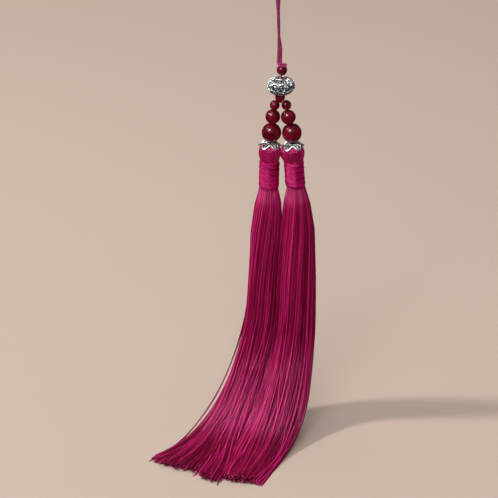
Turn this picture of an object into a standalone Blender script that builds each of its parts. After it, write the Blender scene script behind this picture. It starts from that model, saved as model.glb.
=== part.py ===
"""Double silk tassel: two long fuchsia tassels under strings of agate beads, on a twisted cord.

The origin is the hang point, the inside of the cord loop's top. +X is to the right, +Y is to
the back and +Z is up. The skirts hang plumb, then bend forward and end level on a surface
FLOOR_DROP below the hang point. Sizes are in millimetres and become metres in place().
"""

from collections import namedtuple
import math
import random

import bmesh
import bpy
import numpy as np
from mathutils import Matrix, Vector

MM = 0.001
GAP = 0.3  # clearance between two pieces that touch on the real tassel
FLOOR_DROP = 208.0

# Beads. Places are (aside, back, drop) from the hang point.
BeadSize = namedtuple("BeadSize", "diameter segments rings")
BEAD_SIZES = {
    "small": BeadSize(3.9, 12, 6),
    "middle": BeadSize(5.8, 12, 8),
    "large": BeadSize(7.8, 16, 10),
}
TOP_BEAD = (2.1, 0.0, 47.1)
CENTRE_BEAD = (1.43, 0.0, 59.0)
BEAD_STRINGS = {
    "left": ((-0.75, 0.2, 62.6), (-1.5, 0.5, 67.7), (-2.0, 0.8, 74.8)),
    "right": ((4.05, -0.2, 62.4), (4.85, -0.5, 67.5), (6.4, -0.8, 74.4)),
}

# Threads inside the beads: the pair above the fork, a single one down each leg
STEM_RADIUS = 0.35
LEG_RADIUS = 0.25
THREAD_SIDES = 6
FORK = (1.6, 0.0, 61.5)
LEG_START = 0.95  # the leg begins this far aside of the fork

# Lotus spacer: height above its middle, radius, and how deep the crease between petals is
LOTUS = (1.77, 0.0, 53.05)
LOTUS_BORE = 0.7
LOTUS_DIP = 0.5  # fall of the top from its rim to the bore
LOTUS_PETALS = 8
LOTUS_STEPS = 4  # points from one petal to the next
PetalRow = namedtuple("PetalRow", "height radius crease")
LOTUS_ROWS = (
    PetalRow(-3.4, 1.9, 0.00),
    PetalRow(-4.2, 2.5, 0.00),
    PetalRow(-3.8, 3.5, 0.10),
    PetalRow(-2.4, 4.8, 0.12),
    PetalRow(-0.3, 5.4, 0.12),
    PetalRow(1.1, 5.3, 0.20),
    PetalRow(1.9, 4.5, 0.10),
    PetalRow(2.9, 3.0, 0.12),
    PetalRow(2.9, 2.2, 0.00),
)

# Petal bead caps: radius and fall below the collar, at a petal's tip and at a notch
CAP_DROP = {"left": 79.0, "right": 78.6}
CAP_PETALS = 5
CAP_STEPS = 5  # points from one petal to the next
CAP_BORE = 0.75
CAP_THICKNESS = 0.5
CapRow = namedtuple("CapRow", "tip_radius notch_radius tip_fall notch_fall")
CAP_ROWS = (
    CapRow(CAP_BORE, CAP_BORE, 0.0, 0.0),
    CapRow(2.2, 2.2, 0.1, 0.1),
    CapRow(3.5, 3.3, 0.7, 0.4),
    CapRow(4.75, 3.9, 1.8, 0.8),
)

# Tassel necks. Each foot is a place, lean tips the axis sideways in degrees, and heading is
# the way that the skirt bends, in degrees to the left of straight forward.
Neck = namedtuple("Neck", "foot lean heading")
NECKS = {
    "left": Neck((-3.0, 1.0, 99.1), 1.2, 33.0),
    "right": Neck((8.2, -1.0, 98.7), -4.3, 20.0),
}
# Turned about the neck's axis: height above its foot, and radius
TurnedRow = namedtuple("TurnedRow", "height radius")
NECK_FOOT_RADIUS = 4.0
HEAD_ROWS = (
    TurnedRow(0.4, 3.9),
    TurnedRow(0.7, 3.4),
    TurnedRow(13.0, 3.4),
    TurnedRow(13.5, 4.3),
    TurnedRow(15.0, 4.6),
    TurnedRow(17.2, 4.4),
    TurnedRow(18.4, 3.6),
    TurnedRow(19.1, 2.6),
)
# The socket in the head's top, where the thread is tied in
SOCKET_ROWS = (TurnedRow(19.1, 0.8), TurnedRow(16.0, 0.8))
# The thread wound round the neck
BINDING_BORE = 3.7
BINDING_ROWS = (
    TurnedRow(1.1, 4.0),
    TurnedRow(2.2, 4.2),
    TurnedRow(6.5, 4.12),
    TurnedRow(11.2, 4.22),
    TurnedRow(12.6, 4.05),
)

# Skirts: plumb, then an arc of BEND_RADIUS, then level. The lattice of LOCK_RINGS rings has
# 6 * LOCK_RINGS ** 2 triangular locks.
BEND_RADIUS = 50.0
END_HALF_DEPTH = 1.6
LOCK_RINGS = 4
LOCK_GAP = 0.11  # gap round each lock, as a share of the lattice's spacing
LOCK_WIDEST = 7.5  # half width past which locks spread apart instead of growing wider
LOCK_TIP = 0.45  # size of a lock's end beside its middle
RAGGED = 5.0  # most that a lock is short of the full length
SEED = 11
Section = namedtuple("Section", "down aside half_width half_depth slant")
SKIRTS = {
    "left": (
        Section(12, -0.6, 5.95, 6.0, 0.15),
        Section(36, -1.8, 6.0, 7.8, 0.33),
        Section(62, -2.8, 6.3, 7.6, 0.44),
        Section(81, -3.6, 6.8, 6.5, 0.39),
        Section(100, -4.4, 7.9, 4.6, 0.27),
        Section(118, -4.2, 11.1, 2.9, 0.11),
        Section(136, -2.2, 15.4, END_HALF_DEPTH, 0.00),
        Section(146, -1.5, 17.2, END_HALF_DEPTH, 0.00),
    ),
    "right": (
        Section(12, 0.9, 6.4, 5.8, 0.15),
        Section(36, 0.9, 7.9, 7.1, 0.33),
        Section(62, 0.7, 8.4, 7.2, 0.44),
        Section(81, 0.4, 9.2, 6.4, 0.39),
        Section(100, -0.3, 10.8, 5.0, 0.27),
        Section(118, -1.3, 10.8, 3.1, 0.11),
        Section(136, -1.2, 9.2, END_HALF_DEPTH, 0.00),
        Section(146, -0.4, 8.0, END_HALF_DEPTH, 0.00),
    ),
}

# Hanging cord: one cord from the knot up to the loop and back, twisted with itself. Each row
# gives the drop, the place of the pair's middle, half the distance between the two and the
# way that the pair faces, in degrees.
CORD_RADIUS = 0.4
CORD_POINTS = 48
EYE_RADIUS = 2.0
EYE_ANGLES = (150, 120, 90, 60, 30)
TwistRow = namedtuple("TwistRow", "drop aside apart turn")
TWIST_ROWS = (
    TwistRow(41.3, 1.35, 0.55, 50),
    TwistRow(38.0, 1.20, 0.60, 0),
    TwistRow(32.0, 0.75, 0.52, -90),
    TwistRow(25.0, 0.50, 0.50, -180),
    TwistRow(18.0, 0.30, 0.46, -270),
    TwistRow(11.0, 0.10, 0.56, -360),
    TwistRow(6.5, 0.00, 1.35, -360),
)

# Knot: a trefoil of the same cord, lying across the stem
KNOT = (2.3, 0.0, 43.05)
KNOT_SIZE = (0.68, 0.48, 0.46)  # across, through, up
KNOT_STEPS = 26
KNOT_SIDES = 6


def place(aside, back, drop):
    """A point in metres from distances in millimetres to the right, back and below."""
    return Vector((aside, back, -drop)) * MM


def finish(name, colour, roughness, metallic=0.0):
    material = bpy.data.materials.new(name)
    material.use_nodes = True
    shader = material.node_tree.nodes["Principled BSDF"]
    shader.inputs["Base Color"].default_value = (*colour, 1.0)
    shader.inputs["Roughness"].default_value = roughness
    shader.inputs["Metallic"].default_value = metallic
    return material


def add_object(name, bm, material):
    """Closes off a bmesh as one named, smooth-shaded object at the origin."""
    bmesh.ops.recalc_face_normals(bm, faces=bm.faces)
    mesh = bpy.data.meshes.new(name)
    bm.to_mesh(mesh)
    bm.free()
    if material:
        mesh.materials.append(material)
    mesh.shade_smooth()
    mesh.set_sharp_from_angle(angle=math.radians(40))
    piece = bpy.data.objects.new(name, mesh)
    bpy.context.collection.objects.link(piece)
    return piece


def ring_of_verts(bm, points):
    return [bm.verts.new(point) for point in points]


def turned_ring(bm, row, count):
    angles = [2 * math.pi * step / count for step in range(count)]
    points = [Vector((row.radius * math.cos(a), row.radius * math.sin(a), row.height)) for a in angles]
    return ring_of_verts(bm, [point * MM for point in points])


def join_rings(bm, rings, closed=False):
    """Bridges each ring of vertices to the next, and the last to the first when closed."""
    pairs = list(zip(rings, rings[1:]))
    if closed:
        pairs.append((rings[-1], rings[0]))
    for lower, upper in pairs:
        for i in range(len(lower)):
            j = (i + 1) % len(lower)
            bm.faces.new((lower[i], lower[j], upper[j], upper[i]))


def smooth_route(points, count):
    """Reads count points from a smooth curve through the points, evenly spaced along it."""
    knots = [2 * points[0] - points[1], *points, 2 * points[-1] - points[-2]]
    fine = []
    for a, b, c, d in zip(knots, knots[1:], knots[2:], knots[3:]):
        for step in range(24):
            t = step / 24
            bend = a * 2 - b * 5 + c * 4 - d
            twist = b * 3 - a - c * 3 + d
            fine.append((b * 2 + (c - a) * t + bend * t ** 2 + twist * t ** 3) / 2)
    fine.append(points[-1])
    lengths = [0.0]
    for before, after in zip(fine, fine[1:]):
        lengths.append(lengths[-1] + (after - before).length)
    stops = np.linspace(0, lengths[-1], count)
    axes = [np.interp(stops, lengths, [point[axis] for point in fine]) for axis in range(3)]
    return [Vector(point) for point in zip(*axes)]


def tube(bm, route, radius, sides, closed=False):
    """A tube along the route, with flat ends unless it closes on itself."""
    rings = []
    count = len(route)
    side = Vector((0, 1, 0))
    for i, point in enumerate(route):
        before = route[(i - 1) % count] if closed else route[max(i - 1, 0)]
        after = route[(i + 1) % count] if closed else route[min(i + 1, count - 1)]
        along = (after - before).normalized()
        side = (side - along * side.dot(along)).normalized()
        up = along.cross(side)
        angles = [2 * math.pi * step / sides for step in range(sides)]
        spokes = [side * math.cos(a) + up * math.sin(a) for a in angles]
        rings.append(ring_of_verts(bm, [point + spoke * radius for spoke in spokes]))
    join_rings(bm, rings, closed)
    if not closed:
        bm.faces.new(rings[0])
        bm.faces.new(rings[-1])


def thread(name, places, radius, material):
    bm = bmesh.new()
    route = smooth_route([place(*spot) for spot in places], 3 * len(places))
    tube(bm, route, radius * MM, THREAD_SIDES)
    return add_object(name, bm, material)


def drill(name, places, radius):
    """A hidden cutter that follows a thread with GAP of room all round it."""
    cutter = thread(name, places, radius + GAP, None)
    cutter.hide_render = True
    cutter.display_type = "WIRE"
    return cutter


def bead(name, size, centre, cutter, material):
    """A round stone bead, bored along its thread."""
    sizes = BEAD_SIZES[size]
    bm = bmesh.new()
    bmesh.ops.create_uvsphere(
        bm, u_segments=sizes.segments, v_segments=sizes.rings, radius=sizes.diameter / 2 * MM
    )
    bmesh.ops.translate(bm, verts=bm.verts, vec=place(*centre))
    piece = add_object(name, bm, material)
    bore = piece.modifiers.new("bore", "BOOLEAN")
    bore.object = cutter
    return piece


def lotus_bead(name, material):
    """A bored metal spacer whose side swells into petals with creases between them."""
    bm = bmesh.new()
    count = LOTUS_PETALS * LOTUS_STEPS
    base, top = LOTUS_ROWS[0].height, LOTUS_ROWS[-1].height - LOTUS_DIP
    rows = [PetalRow(base, LOTUS_BORE, 0.0), *LOTUS_ROWS, PetalRow(top, LOTUS_BORE, 0.0)]
    aside, back, drop = LOTUS
    rings = []
    for row in rows:
        points = []
        for i in range(count):
            angle = 2 * math.pi * i / count - math.pi / 2
            between = (i % LOTUS_STEPS) / LOTUS_STEPS
            reach = row.radius * (1 - row.crease * math.sin(math.pi * between) ** 2)
            x = aside + reach * math.cos(angle)
            y = back + reach * math.sin(angle)
            points.append(place(x, y, drop - row.height))
        rings.append(ring_of_verts(bm, points))
    join_rings(bm, rings, closed=True)
    return add_object(name, bm, material)


def neck_matrix(side):
    """From a tassel's own axis, with its neck's foot at the origin, to its place."""
    neck = NECKS[side]
    lean = Matrix.Rotation(math.radians(neck.lean), 4, "Y")
    return Matrix.Translation(place(*neck.foot)) @ lean


def bead_cap(name, side, material):
    """A shallow bored cap of drooping petals, centred on the tassel's axis."""
    bm = bmesh.new()
    count = CAP_PETALS * CAP_STEPS
    top = NECKS[side].foot[2] - CAP_DROP[side]
    rows = [(row, 0.0) for row in CAP_ROWS]
    rows += [(row, CAP_THICKNESS) for row in reversed(CAP_ROWS)]
    rings = []
    for row, thickness in rows:
        points = []
        for i in range(count):
            angle = 2 * math.pi * i / count + math.pi / 2
            petal = math.cos(math.pi * (i % CAP_STEPS) / CAP_STEPS) ** 2
            radius = row.notch_radius + (row.tip_radius - row.notch_radius) * petal
            fall = row.notch_fall + (row.tip_fall - row.notch_fall) * petal + thickness
            points.append(Vector((radius * math.cos(angle), radius * math.sin(angle), top - fall)) * MM)
        rings.append(ring_of_verts(bm, points))
    join_rings(bm, rings, closed=True)
    bmesh.ops.transform(bm, verts=bm.verts, matrix=neck_matrix(side))
    return add_object(name, bm, material)


def binding(name, side, material):
    """The sleeve of thread wound round a tassel's neck."""
    bm = bmesh.new()
    foot, head = BINDING_ROWS[0].height, BINDING_ROWS[-1].height
    rows = [*BINDING_ROWS, TurnedRow(head, BINDING_BORE), TurnedRow(foot, BINDING_BORE)]
    join_rings(bm, [turned_ring(bm, row, 6 * LOCK_RINGS) for row in rows], closed=True)
    bmesh.ops.transform(bm, verts=bm.verts, matrix=neck_matrix(side))
    return add_object(name, bm, material)


def skirt_frame(side, down):
    """The middle of a skirt's section, its width and depth directions and its lean."""
    neck = NECKS[side]
    aside, back, drop = neck.foot
    plumb = FLOOR_DROP - END_HALF_DEPTH - BEND_RADIUS - drop
    quarter = BEND_RADIUS * math.pi / 2
    lean = min(max((down - plumb) / BEND_RADIUS, 0.0), math.pi / 2)
    reach = BEND_RADIUS * (1 - math.cos(lean)) + max(down - plumb - quarter, 0.0)
    fall = min(down, plumb) + BEND_RADIUS * math.sin(lean)
    heading = math.radians(neck.heading)
    level = Vector((-math.sin(heading), -math.cos(heading), 0))
    centre = place(aside, back, drop + fall) + level * reach * MM
    along = level * math.sin(lean) + Vector((0, 0, -math.cos(lean)))
    turn = heading * math.sin(lean)
    width = Vector((math.cos(turn), -math.sin(turn), 0))
    width = (width - along * width.dot(along)).normalized()
    return centre, width, along.cross(width), lean


def skirt_point(side, section, across, through, lock_across, lock_through):
    """A lock's corner at one section. across and through place the lock's middle in the
    section's unit disc, and the other two carry the corner away from that middle."""
    centre, width, depth, lean = skirt_frame(side, section.down)
    rim = math.sqrt(max(0.0, 1 - (across + lock_across) ** 2))
    settled = math.sin(lean) ** 2 * (1 - rim)
    wide = section.half_width * across - section.slant * section.half_depth * through
    wide += min(section.half_width, LOCK_WIDEST) * lock_across
    deep = section.half_depth * (through - settled + lock_through)
    return centre + (Vector((section.aside, 0, 0)) + width * wide + depth * deep) * MM


def lattice_disc(bm):
    """A unit disc of triangles: a subdivided hexagon with each of its rings made round."""
    bmesh.ops.create_circle(bm, cap_ends=True, cap_tris=True, segments=6, radius=1.0)
    bmesh.ops.subdivide_edges(bm, edges=bm.edges, cuts=LOCK_RINGS - 1, use_grid_fill=True)
    bmesh.ops.triangulate(bm, faces=bm.faces)
    half_side = math.pi / 6
    for vert in bm.verts:
        angle = math.atan2(vert.co.y, vert.co.x)
        from_middle = (angle + half_side) % (2 * half_side) - half_side
        vert.co *= math.cos(from_middle) / math.cos(half_side)


def tassel(name, side, material):
    """A head and neck turned in one piece, with the skirt's locks growing from its foot."""
    bm = bmesh.new()
    lattice_disc(bm)
    bmesh.ops.scale(bm, verts=bm.verts, vec=Vector((1, 1, 1)) * NECK_FOOT_RADIUS * MM)
    roots = list(bm.faces)

    # The head and neck, extruded up from the lattice's rim and closed in the thread socket
    rim = [edge for edge in bm.edges if edge.is_boundary]
    for row in HEAD_ROWS + SOCKET_ROWS:
        grown = bmesh.ops.extrude_edge_only(bm, edges=rim)["geom"]
        rim = [item for item in grown if isinstance(item, bmesh.types.BMEdge)]
        for vert in {vert for edge in rim for vert in edge.verts}:
            spoke = Vector((vert.co.x, vert.co.y, 0)).normalized() * row.radius
            vert.co = Vector((spoke.x, spoke.y, row.height)) * MM
    bmesh.ops.edgeloop_fill(bm, edges=rim)

    # Each lattice triangle is drawn in, so that its lock stands apart from its neighbours
    spacing = NECK_FOOT_RADIUS * MM / LOCK_RINGS
    bmesh.ops.inset_individual(bm, faces=roots, thickness=LOCK_GAP * spacing, use_even_offset=True)
    keys = ("across", "through", "lock_across", "lock_through", "short")
    layers = [bm.verts.layers.float.new(key) for key in keys]
    draw = random.Random(SEED)
    for face in roots:
        middle = face.calc_center_median() / (NECK_FOOT_RADIUS * MM)
        short = draw.random() * RAGGED
        for vert in face.verts:
            offset = vert.co / (NECK_FOOT_RADIUS * MM) - middle
            for layer, value in zip(layers, (middle.x, -middle.y, offset.x, -offset.y, short)):
                vert[layer] = value
    bmesh.ops.transform(bm, verts=bm.verts, matrix=neck_matrix(side))

    # The locks, extruded section by section down the skirt
    ends = roots
    last = SKIRTS[side][-1]
    for section in SKIRTS[side]:
        ends = bmesh.ops.extrude_discrete_faces(bm, faces=ends)["faces"]
        size = LOCK_TIP if section is last else 1.0
        for vert in {vert for face in ends for vert in face.verts}:
            across, through, lock_across, lock_through, short = (vert[layer] for layer in layers)
            down = section.down - (short if section is last else 0.0)
            spot = section._replace(down=down)
            vert.co = skirt_point(side, spot, across, through, lock_across * size, lock_through * size)
    return add_object(name, bm, material)


def cord_places():
    """Up one side of the twisted pair, round the eye and down the other side."""
    up = []
    down = []
    for row in TWIST_ROWS:
        x = row.apart * math.cos(math.radians(row.turn))
        y = row.apart * math.sin(math.radians(row.turn))
        up.append(place(row.aside - x, -y, row.drop))
        down.append(place(row.aside + x, y, row.drop))
    eye = []
    for angle in EYE_ANGLES:
        x = EYE_RADIUS * math.cos(math.radians(angle))
        z = EYE_RADIUS * math.sin(math.radians(angle))
        eye.append(place(x, 0, EYE_RADIUS - CORD_RADIUS - z))
    return up + eye + down[::-1]


def hang_cord(name, material):
    curve = bpy.data.curves.new(name, "CURVE")
    curve.dimensions = "3D"
    curve.bevel_depth = CORD_RADIUS * MM
    curve.bevel_resolution = 2
    curve.use_fill_caps = True
    points = smooth_route(cord_places(), CORD_POINTS)
    spline = curve.splines.new("POLY")
    spline.points.add(len(points) - 1)
    for spot, point in zip(spline.points, points):
        spot.co = (*point, 1.0)
    curve.materials.append(material)
    piece = bpy.data.objects.new(name, curve)
    bpy.context.collection.objects.link(piece)
    return piece


def knot(name, material):
    """A trefoil of cord: x = sin t + 2 sin 2t, y = 2 sin 3t and z = cos t - 2 cos 2t."""
    aside, back, drop = KNOT
    route = []
    for step in range(KNOT_STEPS):
        t = 2 * math.pi * step / KNOT_STEPS
        x = KNOT_SIZE[0] * (math.sin(t) + 2 * math.sin(2 * t))
        y = KNOT_SIZE[1] * 2 * math.sin(3 * t)
        z = KNOT_SIZE[2] * (math.cos(t) - 2 * math.cos(2 * t))
        route.append(place(aside + x, back + y, drop - z))
    bm = bmesh.new()
    tube(bm, route, CORD_RADIUS * MM, KNOT_SIDES, closed=True)
    return add_object(name, bm, material)


def leg_places(side):
    """A leg thread's places in its three beads, at the head's top and in the head's socket."""
    matrix = neck_matrix(side)
    rim, floor = SOCKET_ROWS
    heights = (rim.height, floor.height + GAP)
    spots = [matrix @ (Vector((0, 0, height)) * MM) for height in heights]
    return [*BEAD_STRINGS[side], *((spot.x / MM, spot.y / MM, -spot.z / MM) for spot in spots)]


def build():
    silk = finish("fuchsia silk", (0.35, 0.012, 0.09), 0.42)
    wrapping = finish("fuchsia wrapping thread", (0.42, 0.018, 0.11), 0.38)
    cord_silk = finish("fuchsia cord", (0.45, 0.03, 0.16), 0.5)
    agate = finish("red agate", (0.14, 0.004, 0.012), 0.12)
    silver = finish("antique silver", (0.62, 0.60, 0.57), 0.3, metallic=1.0)

    hang_cord("hang_cord", cord_silk)
    knot("knot", cord_silk)
    stem_top = (TOP_BEAD[0] + 0.1, 0.0, TOP_BEAD[2] - 2.0)
    stem = [stem_top, TOP_BEAD, CENTRE_BEAD, FORK]
    thread("stem_thread", stem, STEM_RADIUS, cord_silk)
    stem_drill = drill("stem drill", stem, STEM_RADIUS)
    bead("top_bead", "small", TOP_BEAD, stem_drill, agate)
    lotus_bead("lotus_bead", silver)
    bead("centre_bead", "small", CENTRE_BEAD, stem_drill, agate)

    for side, sign in (("left", -1), ("right", 1)):
        places = leg_places(side)
        start = (FORK[0] + sign * LEG_START, FORK[1], FORK[2] + 0.2)
        thread("leg_thread_" + side, [start, *places], LEG_RADIUS, cord_silk)
        leg_drill = drill("leg drill " + side, [FORK, *places], LEG_RADIUS)
        for size, centre in zip(BEAD_SIZES, BEAD_STRINGS[side]):
            bead(size + "_bead_" + side, size, centre, leg_drill, agate)
        bead_cap("bead_cap_" + side, side, silver)
        binding("binding_" + side, side, wrapping)
        tassel("tassel_" + side, side, silk)


for existing in list(bpy.data.objects):
    bpy.data.objects.remove(existing)
build()
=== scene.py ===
"""A double silk tassel under strings of agate beads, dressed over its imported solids.

Sizes are in millimetres from the hang point, with +X to the right, +Y to the back and +Z up.
Each mesh is scaled to metres as it is finished. The camera, the lights and the materials'
reliefs are in metres.
"""

import math
import random

import bmesh
import bpy
import numpy as np
from mathutils import Matrix, Vector


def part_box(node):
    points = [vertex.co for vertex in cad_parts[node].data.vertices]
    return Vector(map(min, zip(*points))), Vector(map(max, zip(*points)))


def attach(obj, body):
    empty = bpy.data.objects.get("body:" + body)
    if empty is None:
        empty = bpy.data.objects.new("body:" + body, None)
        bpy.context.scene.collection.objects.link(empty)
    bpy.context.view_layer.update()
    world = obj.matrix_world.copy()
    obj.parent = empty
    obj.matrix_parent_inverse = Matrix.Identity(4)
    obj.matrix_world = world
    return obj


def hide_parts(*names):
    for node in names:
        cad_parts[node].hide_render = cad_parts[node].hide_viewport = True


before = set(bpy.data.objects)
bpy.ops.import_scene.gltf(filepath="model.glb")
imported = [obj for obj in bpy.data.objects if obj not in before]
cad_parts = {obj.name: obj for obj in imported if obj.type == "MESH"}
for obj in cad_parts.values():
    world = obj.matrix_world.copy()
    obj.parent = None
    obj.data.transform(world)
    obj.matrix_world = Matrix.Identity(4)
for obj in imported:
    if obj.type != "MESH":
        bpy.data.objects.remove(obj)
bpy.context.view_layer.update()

# ---------------------------------------------------------------- camera, lights and floor
# The tassel hangs over a pale clay-coloured sheet, which its skirts' ends lie on, and is seen
# from a little above. A small hard light stands to the upper left, and broad soft ones overhead
# and in front. Two of the lights only show as gloss on the silk, beads and silver.
MM = 0.001
FLOOR_DROP = 208.0
FLOOR_SIDE = 12.0  # metres
CAMERA_PLACE = (-0.01131, -0.66057, 0.18035)
CAMERA_PITCH = 25.0  # degrees below level
CAMERA_LENS = 123.5
CAMERA_NEAR = 0.01
LIGHT_TARGET = (0.0, 0.0, -0.12)
# way towards each light from the target, its distance, width and power, and whether it lights
# dull surfaces and shows in glossy ones
LIGHTS = {
    "key": ((-0.70, -0.03, 0.72), 2.0, 0.16, 22.0, True, False),
    "glint": ((-0.70, -0.03, 0.72), 2.01, 0.16, 10.0, False, True),
    "overhead": ((0.0, 0.3, 1.0), 1.3, 1.6, 9.0, True, False),
    "front": ((-0.15, -0.75, 0.65), 2.0, 1.3, 15.0, True, False),
    "sheen": ((-0.40, -0.53, 0.73), 1.31, 0.5, 29.0, False, True),
}
SKY_COLOUR = (1.0, 0.96, 0.93)
SKY_STRENGTH = 0.27  # overhead; it falls off towards the horizon
SKY_TOP = 0.9  # how far up, from 0 at the horizon to 1, it is at full strength
SKY_SIDES = (-0.1, -0.35, 0.0)  # how much brighter it is to the left and the front
ROOM_STRENGTH = 0.02  # the dark room below the table's edge, which glossy pieces mirror
SHEET_COLOUR = (0.55, 0.43, 0.358)
SHEET_ROUGHNESS = 0.9


def set_sockets(tree, node, sockets):
    """Gives each of a node's sockets its value, or a link where that is another's output."""
    for socket, value in sockets.items():
        if isinstance(value, bpy.types.NodeSocket):
            tree.links.new(value, node.inputs[socket])
        else:
            node.inputs[socket].default_value = value


def add_node(tree, kind, sockets, **settings):
    """A new shader node with its own settings and its sockets' values."""
    node = tree.nodes.new("ShaderNode" + kind)
    for name, setting in settings.items():
        setattr(node, name, setting)
    set_sockets(tree, node, sockets)
    return node


def reckon(tree, operation, *values):
    """The output of a Math node over its values, each a number or another node's output."""
    return add_node(tree, "Math", dict(enumerate(values)), operation=operation).outputs[0]


def plain_material(name, colour, roughness, metallic=0.0):
    """A material with its shader's fixed values set, and its shader."""
    material = bpy.data.materials.new(name)
    material.use_nodes = True
    shader = material.node_tree.nodes["Principled BSDF"]
    shader.inputs["Base Color"].default_value = (*colour, 1.0)
    shader.inputs["Roughness"].default_value = roughness
    shader.inputs["Metallic"].default_value = metallic
    return material, shader


for name, (way, distance, width, watts, on_dull, on_gloss) in LIGHTS.items():
    light = bpy.data.lights.new(name, "AREA")
    light.size = width
    light.energy = watts
    lamp = bpy.data.objects.new(name, light)
    lamp.location = Vector(LIGHT_TARGET) + Vector(way).normalized() * distance
    lamp.rotation_euler = Vector(way).to_track_quat("Z", "Y").to_euler()
    lamp.visible_diffuse = on_dull
    lamp.visible_glossy = on_gloss
    bpy.context.scene.collection.objects.link(lamp)

camera = bpy.data.objects.new("camera", bpy.data.cameras.new("camera"))
camera.data.lens = CAMERA_LENS
camera.data.clip_start = CAMERA_NEAR
camera.location = CAMERA_PLACE
camera.rotation_euler = (math.radians(90.0 - CAMERA_PITCH), 0.0, 0.0)
bpy.context.scene.collection.objects.link(camera)
bpy.context.scene.camera = camera
bpy.context.scene.view_settings.view_transform = "Standard"

world = bpy.data.worlds.new("studio")
world.use_nodes = True
sky = world.node_tree
sky_way = add_node(sky, "TexCoord", {}).outputs["Generated"]
sky_height = add_node(sky, "SeparateXYZ", {0: sky_way})
sky_glow = add_node(
    sky,
    "MapRange",
    {
        "From Min": 0.0,
        "From Max": SKY_TOP,
        "To Min": ROOM_STRENGTH,
        "To Max": SKY_STRENGTH,
        "Value": sky_height.outputs["Z"],
    },
).outputs["Result"]
sky_side = add_node(sky, "VectorMath", {0: sky_way, 1: SKY_SIDES}, operation="DOT_PRODUCT")
sky_light = reckon(sky, "MULTIPLY_ADD", sky_side.outputs["Value"], sky_glow, sky_glow)
backdrop = sky.nodes["Background"]
set_sockets(sky, backdrop, {"Color": (*SKY_COLOUR, 1.0), "Strength": sky_light})
bpy.context.scene.world = world

sheet_bm = bmesh.new()
bmesh.ops.create_grid(sheet_bm, x_segments=1, y_segments=1, size=FLOOR_SIDE / 2)
bmesh.ops.translate(sheet_bm, verts=sheet_bm.verts, vec=(0, 0, -FLOOR_DROP * MM))
sheet_mesh = bpy.data.meshes.new("sheet")
sheet_bm.to_mesh(sheet_mesh)
sheet_bm.free()
sheet_mesh.materials.append(plain_material("matt clay paper", SHEET_COLOUR, SHEET_ROUGHNESS)[0])
sheet = bpy.data.objects.new("sheet", sheet_mesh)
bpy.context.scene.collection.objects.link(sheet)
sheet.visible_glossy = False

# ---------------------------------------------------------------- hanging cord
# One thin fuchsia cord of three twisted plies runs up from the knot, round a loop and back
# down, loosely twisted with itself. It is drawn taut by the tassel's weight.
CORD_THICK = 1.12
CORD_PITCH = 2.6  # one full turn of the plies
CORD_TONES = (0.15, 0.42, 0.28)  # how light each ply is
CORD_COLOURS = ((0.15, 0.003, 0.035), (0.3, 0.016, 0.1), (0.52, 0.06, 0.21))
CORD_STEP = 0.2  # between the points of its line
PLY_SHARE = 0.54  # a ply's thickness beside its cord's
PLY_SIDES = 8
END_TAPER = 0.6  # a thread's thickness at its very ends
CURVE_STEPS = 24  # from one given point of a smooth curve to the next
EYE_RADIUS = 2.0
EYE_ANGLES = (150, 120, 90, 60, 30)
# drop, place of the pair's middle, half the distance between the two, way the pair faces
TWIST_ROWS = (
    (44.6, 1.10, 0.50, 10),
    (41.3, 1.10, 0.50, 0),
    (38.0, 1.15, 0.50, -20),
    (32.5, 0.75, 0.46, -88),
    (28.0, 0.60, 0.46, -110),
    (23.0, 0.45, 0.46, -105),
    (16.0, 0.25, 0.46, -190),
    (11.0, 0.10, 0.56, -330),
    (6.5, 0.00, 1.35, -360),
)
# each thread of a mesh starts at another place in its twist: share of a turn, millimetres
TWIST_START = 0.618
TWIST_SPREAD = 10.0
SILK_TINT = (1.0, 0.22, 0.54)
SILK_IOR = 1.6
SILK_STOPS = (0.1, 0.45, 1.0)  # how light a thread's dark, deep and light colours are
CROWN_PAINTED_LIGHT = 0.15  # painted light and shade: how much lighter a ply is on its crown, and darker in its grooves
MOTTLE_LIGHT = 0.35
MOTTLE_SCALE = 260.0
PLY_RELIEF = {"Strength": 0.7, "Distance": 0.00007}


def smooth_route(points, spacing):
    """A smooth curve through the points, read at even steps of about the spacing."""
    points = np.array(points, float)
    ends = (2 * points[0] - points[1], 2 * points[-1] - points[-2])
    knots = np.vstack((ends[0], points, ends[1]))
    fine = []
    for a, b, c, d in zip(knots, knots[1:], knots[2:], knots[3:]):
        for t in np.arange(0, 1, 1 / CURVE_STEPS):
            bend = (2 * a - 5 * b + 4 * c - d) * t**2
            twist = (3 * b - a - 3 * c + d) * t**3
            fine.append((2 * b + (c - a) * t + bend + twist) / 2)
    fine = np.vstack((fine, points[-1]))
    lengths = np.concatenate(([0], np.cumsum(np.linalg.norm(np.diff(fine, axis=0), axis=1))))
    stops = np.linspace(0, lengths[-1], max(3, round(lengths[-1] / spacing) + 1))
    return np.stack([np.interp(stops, lengths, fine[:, axis]) for axis in range(3)], axis=1)


def carried_frames(routes):
    """Unit directions across each route, carried along it without twisting."""
    ahead = np.gradient(routes, axis=1)
    ahead /= np.linalg.norm(ahead, axis=2, keepdims=True)
    side = np.eye(3)[np.abs(ahead[:, 0]).argmin(axis=1)]
    across = np.empty_like(routes)
    for stop in range(routes.shape[1]):
        along = ahead[:, stop]
        side = side - along * (side * along).sum(axis=1, keepdims=True)
        side = side / np.linalg.norm(side, axis=1, keepdims=True)
        across[:, stop] = side
    return across, np.cross(ahead, across)


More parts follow.
